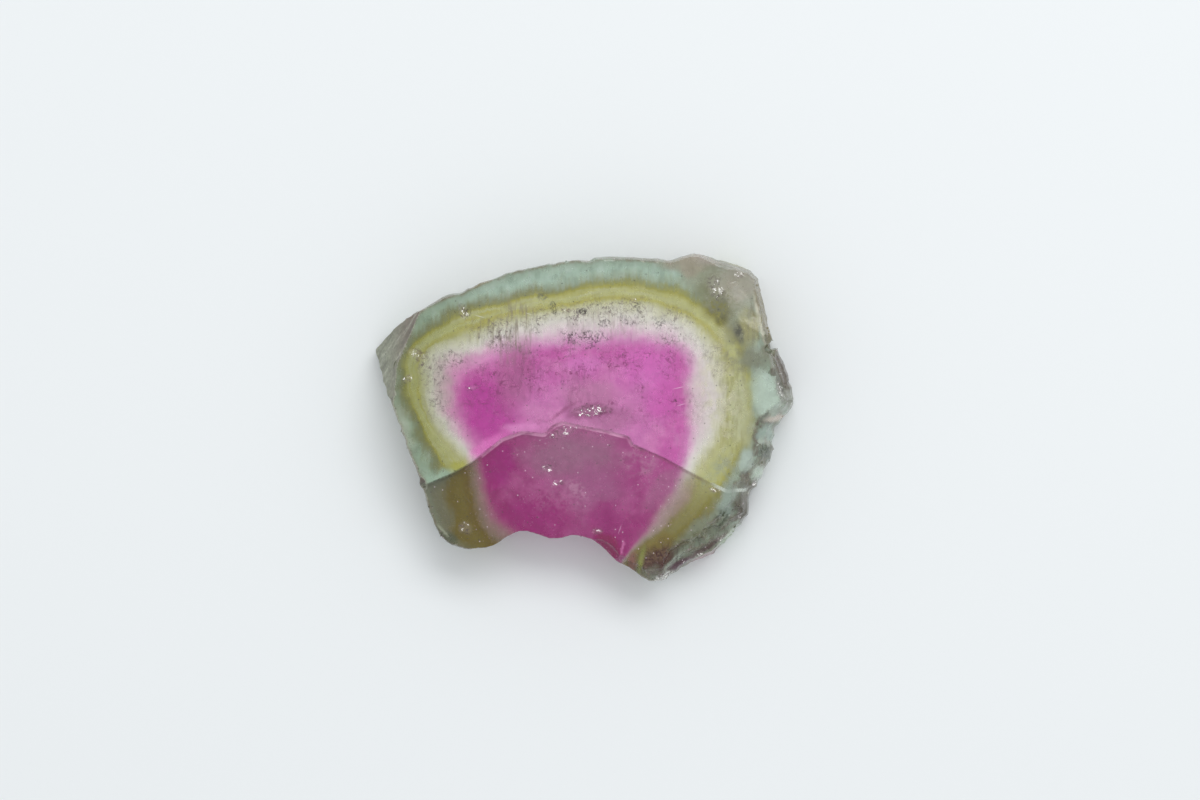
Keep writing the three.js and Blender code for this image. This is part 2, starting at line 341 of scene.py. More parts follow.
def rim_distance(places, directions):
    """How far each point is from the nearest point of a wall, in mm."""
    on_wall = np.flatnonzero(np.abs(directions[:, 2]) < WALL_SLOPE)
    wall_points = kdtree.KDTree(len(on_wall))
    for index in on_wall:
        wall_points.insert(places[index], int(index))
    wall_points.balance()
    return np.array([wall_points.find(place)[2] for place in places])


def set_attribute(mesh, name, values):
    """A number for each point that the material reads."""
    attribute = mesh.attributes.new(name, "FLOAT", "POINT")
    attribute.data.foreach_set("value", values.astype(np.float32))


def left_tip(places, directions):
    """1 on the natural face that slopes down to the left tip: neither upright nor level, and far left."""
    slope = directions[:, 2]
    return fade(slope, 0.1, 0.3) * (1 - fade(slope, 0.88, 0.97)) * (1 - fade(places[:, 0], -7.1, -6.9))


places = positions(stone.data)
set_attribute(stone.data, "growth", growth_at(places[:, :2]))
set_attribute(stone.data, "below", below_fracture(places[:, :2]))
set_attribute(stone.data, "rim", rim_distance(places, normals(stone.data)))
set_attribute(stone.data, "tip", left_tip(places, normals(stone.data)))

# Stains and weathered ground
# The crystal is browner and rougher at its right side, with glassy mint ground between, and its core is
# cloudy. Each patch is an oval with a soft, wavering border, and is kept in the mesh's own attributes.

# Place, radii, turn, screen colour, strength, and the side of the fracture it stays on
PATCHES = {
    "whole": [
        # Clouds and depth in the core
        ((-4.2, 0.3), (1.7, 2.3), 10, (178, 50, 148), 0.75, "above"),
        ((-3.1, 1.9), (1.2, 2.2), -8, (168, 98, 140), 0.6, "above"),
        ((0.0, 2.4), (1.3, 0.6), 0, (214, 126, 194), 0.8, "above"),
        ((2.75, 2.3), (1.8, 1.3), 0, (216, 114, 194), 0.6, "above"),
        ((0.3, 1.0), (1.7, 1.1), 0, (190, 126, 166), 0.75, "above"),
        ((3.4, 0.9), (1.0, 1.3), 0, (208, 98, 182), 0.6, "above"),
        ((1.2, 0.1), (1.5, 0.8), -8, (170, 106, 148), 0.6, "above"),
        ((0.2, 0.3), (1.3, 0.4), 8, (146, 78, 120), 0.65, "above"),
        ((-0.9, 0.35), (1.0, 0.12), 32, (140, 68, 110), 0.6, "above"),
        ((5.3, 1.0), (1.0, 2.4), 0, (214, 206, 202), 0.7, "above"),
        ((6.9, 0.3), (0.7, 2.4), 3, (186, 190, 160), 0.6, "above"),
        # Painted highlight: pale pink bands along the upper lip of the fracture
        ((-4.2, -1.2), (1.3, 0.45), 38, (222, 120, 192), 0.75, "above"),
        ((-2.7, -0.4), (1.3, 0.3), 4, (224, 144, 202), 0.7, "above"),
        ((-3.7, -2.0), (1.0, 1.4), -20, (154, 34, 120), 0.75, "below"),
        ((-0.6, -1.7), (3.0, 1.3), 0, (152, 104, 132), 0.8, "below"),
        ((0.4, -3.0), (2.0, 1.3), 0, (156, 90, 132), 0.8, "below"),
        ((-2.2, -4.3), (1.9, 1.1), 0, (148, 38, 112), 0.7, "below"),
        ((0.9, -4.4), (1.3, 0.9), 0, (148, 48, 114), 0.7, "below"),
        ((3.5, -3.2), (1.6, 0.8), 50, (166, 108, 142), 0.6, "below"),
        ((3.9, -3.9), (1.9, 0.5), 48, (166, 140, 140), 0.6, "below"),
        # Top right corner: pink, grey, olive ground, and a brown band down its outer side
        ((5.0, 6.9), (1.3, 0.7), -5, (174, 162, 152), 0.8, "both"),
        ((6.8, 5.9), (1.6, 1.5), 0, (160, 156, 142), 0.9, "both"),
        ((6.9, 4.2), (1.3, 1.5), 0, (144, 144, 120), 0.75, "both"),
        ((5.3, 6.2), (1.4, 0.8), -15, (150, 152, 130), 0.8, "both"),
        ((4.3, 6.75), (1.5, 0.45), -8, (156, 148, 130), 0.7, "both"),
        ((5.8, 5.3), (1.5, 0.9), -25, (120, 120, 88), 0.85, "both"),
        ((5.9, 4.6), (0.8, 0.7), -30, (132, 128, 68), 0.8, "both"),
        ((6.5, 7.0), (1.7, 0.16), -19, (170, 174, 128), 0.8, "both"),
        ((8.05, 4.6), (0.5, 2.1), 12, (138, 130, 102), 0.95, "both"),
        ((7.74, 4.4), (0.09, 1.6), 12, (206, 204, 184), 0.8, "both"),
        ((7.56, 4.3), (0.09, 1.3), 12, (104, 98, 76), 0.8, "both"),
        ((7.3, 4.0), (0.55, 1.1), 8, (158, 154, 108), 0.85, "both"),
        ((6.85, 3.75), (0.4, 0.8), 10, (104, 104, 92), 0.45, "both"),
        ((7.5, 2.6), (1.0, 0.8), 0, (132, 136, 118), 0.9, "both"),
        # Mint patch, bulge and ledge at the right
        ((8.0, 1.0), (0.85, 1.4), 15, (186, 204, 190), 0.85, "both"),
        ((8.85, 2.2), (0.4, 1.3), 20, (96, 84, 70), 0.95, "both"),
        ((9.15, 0.9), (0.4, 0.6), 0, (148, 150, 140), 0.9, "both"),
        ((8.6, 0.0), (0.8, 0.2), 10, (208, 196, 184), 0.95, "both"),
        ((8.1, -0.65), (0.7, 0.5), 0, (160, 180, 170), 0.85, "both"),
        ((8.05, -1.5), (0.55, 0.4), -15, (116, 124, 112), 0.85, "both"),
        ((7.75, -2.45), (0.42, 0.55), -15, (194, 209, 196), 0.95, "both"),
        ((7.1, -1.9), (0.5, 0.6), 0, (176, 192, 182), 0.85, "both"),
        ((7.0, -3.1), (0.4, 0.55), 0, (116, 118, 106), 0.85, "both"),
        # Weathered ground down to the bottom corner
        ((6.35, -3.7), (0.5, 0.9), -15, (152, 168, 158), 0.85, "both"),
        ((7.1, -4.1), (0.5, 0.9), 0, (90, 86, 74), 0.95, "both"),
        ((5.1, -4.8), (0.9, 0.55), 35, (130, 136, 114), 0.8, "both"),
        ((3.4, -5.5), (1.0, 0.5), 25, (124, 110, 58), 0.85, "both"),
        ((5.2, -5.9), (1.8, 0.18), 34, (86, 62, 60), 0.9, "both"),
        ((6.5, -5.3), (0.95, 0.28), 43, (186, 200, 180), 0.95, "both"),
        ((3.3, -6.2), (1.3, 0.8), 25, (74, 42, 42), 0.95, "both"),
        ((4.2, -6.45), (0.8, 0.3), 30, (88, 58, 70), 0.95, "both"),
        ((5.2, -6.35), (1.4, 0.2), 32, (176, 146, 152), 0.9, "both"),
        ((4.0, -6.3), (0.95, 0.16), 40, (154, 166, 150), 0.85, "both"),
        ((2.15, -6.4), (0.26, 0.7), -12, (134, 92, 88), 0.85, "both"),
        ((2.55, -6.3), (0.16, 0.9), -12, (132, 140, 72), 0.9, "both"),
        # Spike at the foot
        ((1.05, -5.5), (1.15, 0.7), -40, (136, 10, 88), 0.95, "both"),
        ((1.72, -5.7), (0.07, 0.5), -12, (206, 120, 174), 0.85, "both"),
        # Hazes and bright ends along the left, and a painted glint along the bevel at the lower left corner
        ((-6.3, 1.5), (0.6, 1.5), 12, (178, 172, 162), 0.5, "above"),
        ((-5.5, -2.05), (0.6, 0.4), 25, (166, 166, 74), 0.8, "above"),
        ((-6.4, -2.6), (1.1, 0.35), 20, (160, 186, 164), 0.8, "above"),
        ((-6.1, -5.2), (0.9, 0.35), -35, (84, 90, 72), 0.8, "both"),
        # Painted highlight: a thin glint along the bevel
        ((-6.25, -4.95), (0.5, 0.08), -50, (170, 174, 152), 0.7, "both"),
        ((-8.0, -0.4), (0.5, 1.5), 20, (172, 180, 162), 0.5, "above"),
        # Brown flakes at the top left rim
        ((-6.2, 5.3), (0.6, 0.12), 24, (112, 104, 76), 0.8, "both"),
        ((-4.5, 5.95), (0.8, 0.1), 24, (138, 128, 98), 0.7, "both"),
    ],
    "streaked": [
        ((-3.0, 3.9), (1.3, 1.9), -6, (136, 126, 114), 0.75, "above"),
        ((-4.4, 3.8), (0.9, 1.0), -10, (146, 140, 112), 0.6, "above"),
        ((0.6, 4.1), (2.4, 0.7), 0, (158, 140, 140), 0.5, "above"),
        ((-2.6, 2.0), (1.1, 1.6), 0, (150, 88, 128), 0.5, "above"),
        ((-0.2, 1.2), (1.2, 1.6), 0, (162, 102, 142), 0.45, "above"),
        ((6.3, 1.8), (1.0, 2.6), 12, (146, 144, 104), 0.5, "above"),
        ((7.9, 3.8), (0.8, 1.8), 12, (110, 104, 92), 0.5, "both"),
        ((3.6, -6.0), (1.3, 0.8), 20, (58, 38, 36), 0.6, "both"),
        ((5.6, -5.2), (1.6, 0.4), 36, (74, 66, 54), 0.5, "both"),
        ((6.4, -0.8), (0.9, 2.4), 0, (146, 142, 94), 0.55, "above"),
    ],
    "blotched": [
        ((8.6, 1.6), (0.3, 1.4), 14, (112, 118, 104), 0.8, "both"),
        ((4.4, -5.4), (1.3, 0.3), 34, (92, 92, 64), 0.8, "both"),
        ((6.2, -2.6), (1.0, 1.6), 0, (150, 160, 148), 0.5, "both"),
        ((6.0, 1.2), (1.2, 3.4), 4, (206, 204, 176), 0.55, "above"),
        ((6.7, 2.6), (0.5, 1.4), 15, (128, 128, 100), 0.6, "above"),
        ((2.4, -1.9), (1.1, 0.8), -20, (186, 134, 164), 0.6, "below"),
        ((7.6, -3.7), (0.4, 1.2), 0, (86, 78, 76), 0.85, "both"),
    ],
    "speckled": [
        ((8.95, 2.35), (0.36, 1.2), 18, (72, 60, 50), 0.9, "both"),
        ((8.05, -1.6), (0.5, 0.45), 0, (72, 80, 68), 0.85, "both"),
        ((6.0, -4.5), (0.34, 0.75), -15, (68, 76, 58), 0.95, "both"),
        ((3.2, -6.1), (1.1, 0.6), 25, (164, 142, 108), 0.25, "both"),
        ((6.0, 4.8), (0.6, 0.8), 30, (88, 86, 48), 0.8, "both"),
        ((6.85, 3.85), (0.3, 0.7), 12, (84, 84, 76), 0.85, "both"),
        ((6.1, 6.2), (1.6, 0.8), -20, (128, 128, 108), 0.45, "both"),
        ((6.6, 5.6), (0.8, 1.0), 0, (178, 170, 156), 0.4, "both"),
        ((-1.0, -3.6), (2.2, 0.9), 0, (186, 120, 160), 0.3, "both"),
        ((3.5, -7.05), (0.8, 0.26), 15, (226, 230, 224), 0.9, "both"),
        ((-0.3, -3.1), (0.7, 0.5), -20, (206, 160, 186), 0.35, "both"),
        ((-7.25, -2.9), (0.35, 0.3), 0, (80, 74, 70), 0.95, "both"),
        ((5.8, 5.2), (1.0, 1.0), 0, (150, 152, 134), 0.5, "both"),
        ((0.4, 0.3), (1.4, 0.4), 6, (118, 54, 94), 0.75, "above"),
        ((-1.85, 5.36), (0.26, 0.22), 0, (82, 88, 94), 0.95, "above"),
        ((-1.4, 4.86), (0.14, 0.3), 20, (96, 94, 80), 0.9, "above"),
        ((0.0, 4.68), (0.32, 0.16), -20, (50, 48, 44), 0.95, "above"),
    ],
}

# Places of dark marks, where flaws cross each other: place, radii and turn
MARKS = [
    ((-1.75, 5.4), (0.3, 0.3), 0), ((-1.3, 4.85), (0.2, 0.5), 15), ((-0.05, 4.72), (0.45, 0.22), -20),
    ((0.9, 4.2), (0.5, 0.25), 5), ((2.0, 4.3), (0.6, 0.3), -25), ((2.35, 4.85), (0.25, 0.4), -15),
    ((-4.95, 1.35), (0.5, 0.2), 10), ((-0.9, 1.55), (0.2, 0.14), -30), ((-5.15, 4.75), (0.3, 0.4), 20),
    ((0.3, 3.2), (0.5, 0.25), 30), ((4.05, 0.75), (0.16, 0.12), 0), ((8.3, 3.2), (0.2, 0.15), 0),
    ((3.3, 4.2), (0.5, 0.4), -30), ((0.2, 3.6), (1.5, 0.4), 0),
]

# Crushed spots with white flecks: place, radii and turn
CRUSHED = [
    ((-7.4, 2.85), (0.6, 0.28), -20), ((-7.75, 1.75), (0.35, 0.22), 30), ((-4.9, 1.35), (0.3, 0.12), 10),
    ((0.3, 0.35), (1.2, 0.32), 6), ((-0.9, -0.6), (0.9, 0.3), 20), ((5.85, 5.75), (0.5, 0.75), 25),
    ((6.85, 6.35), (0.3, 0.2), 0), ((5.75, 7.1), (0.25, 0.12), 0), ((5.8, -3.15), (0.45, 0.13), -10),
    ((-1.6, -2.2), (0.35, 0.22), 0), ((-1.1, -2.85), (0.4, 0.15), 10), ((-5.2, -4.85), (0.3, 0.4), 30),
    ((-5.4, -4.85), (0.2, 0.3), 0), ((0.6, -5.0), (0.35, 0.2), 0), ((3.6, -7.0), (0.6, 0.22), 20),
    ((-5.3, 4.7), (0.25, 0.5), 20), ((2.2, 5.2), (0.2, 0.15), 30), ((-0.6, 4.75), (0.5, 0.12), -10),
    ((4.9, -6.2), (0.8, 0.22), 32), ((6.1, -5.3), (0.5, 0.2), 40), ((6.9, -4.3), (0.16, 0.4), 0),
    ((3.9, -6.9), (0.5, 0.25), 25), ((7.6, -2.9), (0.2, 0.4), 0), ((8.7, 1.2), (0.25, 0.5), 15),
]
WAVER = 0.28                    # mm, how far a patch's border strays at most
WAVER_SHARE = 0.45              # and how far of its smaller radius
WAVER_PITCH = 0.7               # mm, from one bend of it to the next
WAVER_SEED = 4                  # so that it strays the same way in each run
BACK_SHARE = 0.4                # how strongly the patches show through to the sawn back


def linear(red, green, blue):
    """A screen colour from 0 to 255 as a linear one."""
    parts = [value / 255 for value in (red, green, blue)]
    return tuple(p / 12.92 if p <= 0.04045 else ((p + 0.055) / 1.055) ** 2.4 for p in parts) + (1,)


def waves(places):
    """Which way each place strays: a noise that runs on smoothly."""
    return np.array([turbulence_vector(place / WAVER_PITCH, 3, False) for place in map(Vector, places)])


def spot(places, centre, radii, turn, softness=0.65):
    """1 in the middle of an oval, 0 outside it."""
    x, y = (places[:, :2] - (np.array(centre) - FOOTPRINT_CENTRE)).T
    angle = math.radians(turn)
    along = (x * math.cos(angle) + y * math.sin(angle)) / radii[0]
    aside = (y * math.cos(angle) - x * math.sin(angle)) / radii[1]
    return 1 - fade(np.hypot(along, aside), 1 - softness, 1)


def lay_patches(patches, places, moves, below, shown):
    """The patches laid one over the other: their colour at each place, and how much of it they cover."""
    sides = {"both": 1, "above": 1 - fade(below, -0.03, 0.03), "below": fade(below, -0.03, 0.03)}
    laid = np.zeros((len(places), 4))
    for centre, radii, turn, tint, strength, side in patches:
        strayed = places + min(WAVER, WAVER_SHARE * min(radii)) * moves
        amount = (strength * spot(strayed, centre, radii, turn) * sides[side] * shown)[:, None]
        laid = laid * (1 - amount) + amount * linear(*tint)
    return laid


seed_set(WAVER_SEED)
moves = waves(places)
upright = normals(stone.data)[:, 2]
off_back = 1 - fade(-upright, 0.3, 0.8)
faces_up = fade(upright, 0.15, 0.4)
shown = BACK_SHARE + (1 - BACK_SHARE) * off_back
depth_below = below_fracture(places[:, :2])
for name, patches in PATCHES.items():
    laid = lay_patches(patches, places, moves, depth_below, shown).astype(np.float32)
    stone.data.attributes.new(name, "FLOAT_COLOR", "POINT").data.foreach_set("color", laid.ravel())
set_attribute(stone.data, "crushed", faces_up * np.max([spot(places, *one) for one in CRUSHED], axis=0))
set_attribute(stone.data, "marks", faces_up * np.max([spot(places, *one) for one in MARKS], axis=0))

# Tourmaline
# Translucent, vitreous crystal with dark hair-like inclusions, crushed white spots, darkened ground
# on its weathered side, and a smoky grey natural face at the left tip.

material = bpy.data.materials.new("zoned_tourmaline")
material.use_nodes = True
tree = material.node_tree
tree.nodes.clear()


def plug(value, socket):
    """Links a socket's value, or sets it."""
    if isinstance(value, bpy.types.NodeSocket):
        tree.links.new(value, socket)
    else:
        socket.default_value = value


def add_node(kind, inputs, **settings):
    """A node of the material with its settings and inputs."""
    made = tree.nodes.new("ShaderNode" + kind)
    for name, value in settings.items():
        setattr(made, name, value)
    for socket, value in inputs.items():
        plug(value, made.inputs[socket])
    return made


def attribute(name):
    """A number that is kept for each point of the mesh."""
    return add_node("Attribute", {}, attribute_name=name).outputs["Fac"]


def math_of(operation, first, second=0.0):
    """A sum, a difference or the like of two values."""
    return add_node("Math", {0: first, 1: second}, operation=operation).outputs[0]


def times(vector, factor):
    """A position or a colour times a number."""
    made = add_node("VectorMath", {0: vector}, operation="SCALE")
    plug(factor, made.inputs["Scale"])
    return made.outputs[0]


def apart(value, level):
    """How far a value is from a level."""
    return math_of("ABSOLUTE", math_of("SUBTRACT", value, level))


def step(value, low, high, at_low=0.0, at_high=1.0):
    """A soft step of a value from one level to another."""
    inputs = {"Value": value, "From Min": low, "From Max": high, "To Min": at_low, "To Max": at_high}
    return add_node("MapRange", inputs, interpolation_type="SMOOTHSTEP").outputs["Result"]


def mix(amount, first, second, mode="MIX"):
    """Two colours in one."""
    made = add_node("Mix", {}, data_type="RGBA", blend_type=mode)
    plug(amount, made.inputs["Factor"])
    plug(first, made.inputs[6])
    plug(second, made.inputs[7])
    return made.outputs[2]


def stretched(vector, scale, turn=0.0):
    """The position, seen from axes that are turned about the crystal's length, and scaled along them."""
    if turn:
        inputs = {"Vector": vector, "Rotation": (0, 0, -math.radians(turn))}
        vector = add_node("Mapping", inputs).outputs["Vector"]
    return add_node("VectorMath", {0: vector, 1: scale}, operation="MULTIPLY").outputs[0]


def noise(vector, scale, detail=2.0, roughness=0.5, distortion=0.0):
    """A cloudy value between 0 and 1: its scale is in clouds to the mm."""
    inputs = {"Vector": vector, "Scale": scale, "Detail": detail, "Roughness": roughness}
    inputs["Distortion"] = distortion
    return add_node("TexNoise", inputs).outputs["Fac"]


def ramp(value, stops):
    """A colour for each level of a value. Each stop is a level and a screen colour."""
    made = add_node("ValToRGB", {"Fac": value})
    elements = made.color_ramp.elements
    while len(elements) < len(stops):
        elements.new(0.5)
    for element, (level, colour) in zip(elements, stops):
        element.position = level
        element.color = linear(*colour)
    return made.outputs["Color"]


def product(first, *others):
    """Several values multiplied."""
    for value in others:
        first = math_of("MULTIPLY", first, value)
    return first


def within(centre, radii, turn, softness=0.8):
    """1 in an oval spot on the face, and 0 outside it. centre and radii are in mm."""
    x, y = np.array(centre) - FOOTPRINT_CENTRE
    moved = add_node("VectorMath", {0: position, 1: (x, y, 0)}, operation="SUBTRACT").outputs[0]
    scaled = stretched(moved, (1 / radii[0], 1 / radii[1], 0), turn)
    length = add_node("VectorMath", {0: scaled}, operation="LENGTH").outputs["Value"]
    return step(length, 1.0, 1.0 - softness)


def cells(vector, scale):
    """The face parted into cells: how far a place is from its cell's middle, and the cell's number."""
    made = add_node("TexVoronoi", {"Vector": vector, "Scale": scale}, voronoi_dimensions="2D")
    number = add_node("SeparateColor", {0: made.outputs["Color"]}).outputs[0]
    return made.outputs["Distance"], number


def dots(scale, share, radius):
    """1 in small round dots: cells to the mm, the share of them with a dot, and its radius in cells."""
    distance, number = cells(position, scale)
    return product(math_of("LESS_THAN", number, share), step(distance, radius, radius * 0.5))


# The place in mm, and the same place strayed by up to WOBBLE mm, which makes straight borders wavy
WOBBLE = 0.7
position = times(add_node("TexCoord", {}).outputs["Object"], 1 / MM)
across, upwards, height = add_node("SeparateXYZ", {0: position}).outputs
clouds = add_node("TexNoise", {"Vector": position, "Scale": 1.6, "Detail": 5.0, "Roughness": 0.65})
centred = add_node("VectorMath", {0: clouds.outputs["Color"], 1: (0.5, 0.5, 0.5)}, operation="SUBTRACT")
strayed = {0: centred.outputs[0], 1: (2 * WOBBLE, 2 * WOBBLE, 0), 2: position}
wavy = add_node("VectorMath", strayed, operation="MULTIPLY_ADD").outputs[0]

growth = attribute("growth")
below = attribute("below")
rim = attribute("rim")
tip = attribute("tip")

# Colours from the outside in, above the fracture and below it. Levels are a quarter of the growth.
ZONES = [
    (0.00, (150, 164, 146)), (0.10, (158, 178, 160)), (0.17, (166, 188, 172)), (0.215, (160, 174, 152)),
    (0.24, (152, 156, 108)), (0.27, (160, 158, 84)), (0.32, (180, 182, 128)), (0.40, (184, 186, 132)),
    (0.46, (186, 186, 140)), (0.51, (204, 204, 178)), (0.57, (218, 216, 206)), (0.625, (222, 208, 212)),
    (0.68, (216, 174, 201)), (0.73, (206, 134, 186)), (0.78, (198, 98, 170)), (0.86, (202, 117, 180)),
    (1.00, (202, 134, 180)),
]
# Below the fracture the colours are darker: painted shade of the broken face that slopes away from the
# light
LOWER_ZONES = [
    (0.00, (112, 112, 96)), (0.12, (108, 110, 92)), (0.20, (112, 110, 86)), (0.26, (106, 94, 44)),
    (0.36, (110, 99, 50)), (0.44, (105, 90, 42)), (0.50, (124, 108, 90)), (0.58, (140, 112, 109)),
    (0.66, (150, 94, 116)), (0.72, (148, 64, 112)), (0.77, (144, 44, 106)), (0.86, (154, 62, 120)),
    (1.00, (160, 92, 134)),
]
OLIVE_LINE = linear(172, 166, 80)
OLIVE_PALE = linear(190, 190, 150)
LEFT_SHADE = linear(220, 223, 210)

# The borders waver, and a grain runs from the core outwards
zone_noise = noise(position, 0.8, 4.0, 0.6)
grain = noise(stretched(position, (8, 1.3, 1)), 1.0, 4.0, 0.65)
level = math_of("MULTIPLY", growth, 0.25)
level = math_of("ADD", level, step(zone_noise, 0.3, 0.7, -0.020, 0.020))
level = math_of("ADD", level, step(grain, 0.3, 0.7, -0.011, 0.011))

# Fine bands follow the growth zones and draw brighter and paler lines in the olive
BANDS = 34.0                    # how many fit between the rim and the core's middle
banded = {0: product(level, BANDS), 1: product(across, 0.5), 2: product(upwards, 0.5)}
bands = noise(add_node("CombineXYZ", banded).outputs[0], 1.0, 3.0, 0.6)
in_olive = product(step(level, 0.24, 0.28), step(level, 0.52, 0.44))
in_olive = product(in_olive, step(across, 5.5, 1.0, 0.3, 1.0), step(zone_noise, 0.3, 0.6, 0.3, 1.0))
upper_colour = ramp(level, ZONES)
upper_colour = mix(product(in_olive, step(bands, 0.46, 0.68, 0, 0.7)), upper_colour, OLIVE_LINE)
upper_colour = mix(product(in_olive, step(bands, 0.5, 0.34, 0, 0.6)), upper_colour, OLIVE_PALE)
inner_line = product(step(level, 0.38, 0.42), step(level, 0.46, 0.43), step(upwards, 1.0, 4.0))
upper_colour = mix(product(inner_line, 0.6), upper_colour, OLIVE_LINE)

# The rind is mottled, and a dark line parts it from the olive at the left
in_rind = step(level, 0.26, 0.20)
mottled = noise(stretched(position, (2.2, 1.1, 1)), 1.0, 4.0, 0.6)
upper_colour = mix(product(in_rind, step(mottled, 0.5, 0.68, 0, 0.4)), upper_colour, linear(190, 206, 196))
upper_colour = mix(product(in_rind, step(mottled, 0.5, 0.34, 0, 0.45)), upper_colour, linear(128, 146, 130))
border = product(step(level, 0.18, 0.23), step(level, 0.29, 0.24), step(across, 1.0, -3.0, 0.15, 0.5))
upper_colour = mix(border, upper_colour, linear(122, 122, 92))

# At the left the core has a wider pink border
halo = product(step(level, 0.55, 0.69), step(level, 0.80, 0.72), step(across, -3.0, -4.5), 0.6)
upper_colour = mix(halo, upper_colour, linear(216, 142, 192))

# The left is darker than the middle, and below the fracture the painted shade is lighter at the right, most
# of all close to it
upper_colour = mix(step(across, -3.5, -8.0), upper_colour, LEFT_SHADE, "MULTIPLY")
lower_colour = ramp(level, LOWER_ZONES)
lower_colour = mix(step(across, -1.0, 6.5, 0, 0.34), lower_colour, upper_colour)
near_fracture = product(step(across, 2.0, 5.5), step(below, 1.8, 0.1), 0.42)
lower_colour = mix(near_fracture, lower_colour, upper_colour)
lower = product(step(below, -0.015, 0.03), step(height, 0.1, 1.0, 0.3, 1.0))
colour = mix(lower, upper_colour, lower_colour)

# Cloudiness of the core
core = step(level, 0.70, 0.80)
cloud = noise(position, 0.6, 5.0, 0.6)
cloud_share = product(step(cloud, 0.44, 0.66, 0, 0.5), step(lower, 0, 1, 1, 0.35))
colour = mix(product(core, cloud_share), colour, linear(212, 142, 188))

# The rind is greyer at its outside, and the weathered rim is a row of dark and of glassy blocks
near_rim = step(level, 0.36, 0.22)
colour = mix(product(step(rim, 0.4, 0.05, 0, 0.35), near_rim), colour, linear(130, 140, 122))
block = cells(wavy, 1.3)[1]
at_right = product(step(across, 6.2, 7.0), step(upwards, 3.2, 2.8))
in_blocks = product(step(rim, 1.1, 0.5), step(level, 0.24, 0.18), at_right)
colour = mix(product(in_blocks, step(block, 0.46, 0.40), 0.6), colour, linear(108, 112, 98))
colour = mix(product(in_blocks, step(block, 0.60, 0.66), 0.8), colour, linear(190, 206, 194))

# A brownish skin on the walls, and a thin line of it along the rim
wall = step(rim, 0.14, 0.02)
skin = step(noise(stretched(position, (2.2, 2.2, 0.35)), 1.0, 3.0), 0.35, 0.6, 0.15, 0.6)
colour = mix(product(wall, skin, step(near_rim, 0, 1, 0.12, 1)), colour, linear(122, 108, 88))
outline = product(step(rim, 0.16, 0.04), step(across, 5.5, 7.0), step(height, 1.0, 1.8))
outline = product(outline, step(block, 0.35, 0.6, 0.55, 0.1))
colour = mix(outline, colour, linear(84, 74, 62))

# The patches, whole ones and ones that are broken up into streaks, blotches or specks
specks = step(noise(position, 6.5, 4.0, 0.65), 0.42, 0.58)
blotches = step(noise(position, 2.6, 4.0, 0.6), 0.40, 0.60)
smears = step(noise(stretched(position, (6, 0.9, 1)), 1.0, 5.0, 0.7), 0.44, 0.62)
masks = {"whole": 1.0, "streaked": smears, "blotched": blotches, "speckled": specks}
for name, mask in masks.items():
    patch = add_node("Attribute", {}, attribute_name=name)
    colour = mix(product(patch.outputs["Alpha"], mask), colour, (0, 0, 0, 1))
    colour = mix(mask, colour, patch.outputs["Color"], "ADD")

# Smoky grey face at the left tip, browner towards the sawn face
tip_colour = mix(step(across, -8.9, -7.6), linear(156, 160, 142), linear(134, 122, 112))
rays = noise(stretched(position, (0.5, 7, 1), 56), 1.0, 3.0, 0.6)
tip_colour = mix(step(rays, 0.54, 0.70, 0, 0.7), tip_colour, linear(196, 198, 184))
tip_colour = mix(step(rays, 0.48, 0.34, 0, 0.5), tip_colour, linear(112, 108, 98))
tip_colour = mix(product(specks, 0.35), tip_colour, linear(92, 92, 80))
colour = mix(tip, colour, tip_colour)
tip_edge = product(step(tip, 0.05, 0.35), step(tip, 0.95, 0.65))
colour = mix(product(tip_edge, 0.5), colour, linear(176, 182, 164))

# Hair-like inclusions in the pale zone and the upper core: branching ones, curled ones and upright
# streaks, densest in some fields, and darkest at the marks
DARK_HAIR = linear(56, 48, 54)
hair = mix(core, linear(106, 92, 94), linear(130, 56, 104))
fields = step(noise(position, 0.9, 4.0, 0.6), 0.42, 0.62)
in_upper = product(step(upwards, -1.0, 1.5, 0.15, 1.0), step(across, 5.5, 3.0, 0.5, 1))
in_pale = product(step(level, 0.30, 0.50), in_upper)
marks = step(attribute("marks"), 0.1, 0.9, 0, 0.75)
for pitch, width in ((2.0, 0.05), (3.6, 0.06)):
    net = add_node("TexVoronoi", {"Vector": wavy, "Scale": pitch}, voronoi_dimensions="2D")
    net.feature = "DISTANCE_TO_EDGE"
    broken = step(noise(position, 1.3 * pitch, 2.0), 0.48, 0.56)
    branches = product(step(net.outputs["Distance"], 1.5 * width, 0.5 * width), broken)
    colour = mix(product(branches, fields, in_pale, 0.8), colour, hair)
    colour = mix(product(branches, marks), colour, DARK_HAIR)
curled = noise(stretched(position, (1.4, 0.75, 1)), 3.0, 1.5, 0.5, 1.5)
curls = step(apart(curled, 0.5), 0.05, 0.02)
colour = mix(product(curls, fields, in_pale, 0.3), colour, hair)
colour = mix(product(curls, marks, 0.6), colour, DARK_HAIR)
streaks = step(noise(stretched(position, (15, 2.4, 1)), 1.0, 5.0, 0.75), 0.54, 0.68)
colour = mix(product(streaks, step(fields, 0, 1, 0.25, 1), in_pale, 0.38), colour, hair)
colour = mix(product(streaks, 0.16), colour, linear(98, 84, 90))

# The stone is a little uneven all over
colour = times(colour, step(noise(position, 2.4, 6.0, 0.7), 0.3, 0.7, 0.93, 1.07))

# Dark dots and pale dust
colour = mix(product(dots(1.9, 0.2, 0.07), 0.75), colour, linear(76, 74, 70))
dust_field = step(noise(position, 0.9, 3.0), 0.46, 0.6, 0.1, 1.0)
dust = step(noise(position, 11.0, 2.0, 0.6), 0.64, 0.72)
colour = mix(product(dust, dust_field, step(lower, 0, 1, 0.12, 0.4)), colour, linear(226, 190, 214))
colour = mix(product(dots(3.0, 0.1, 0.1), lower, 0.6), colour, linear(246, 226, 238))

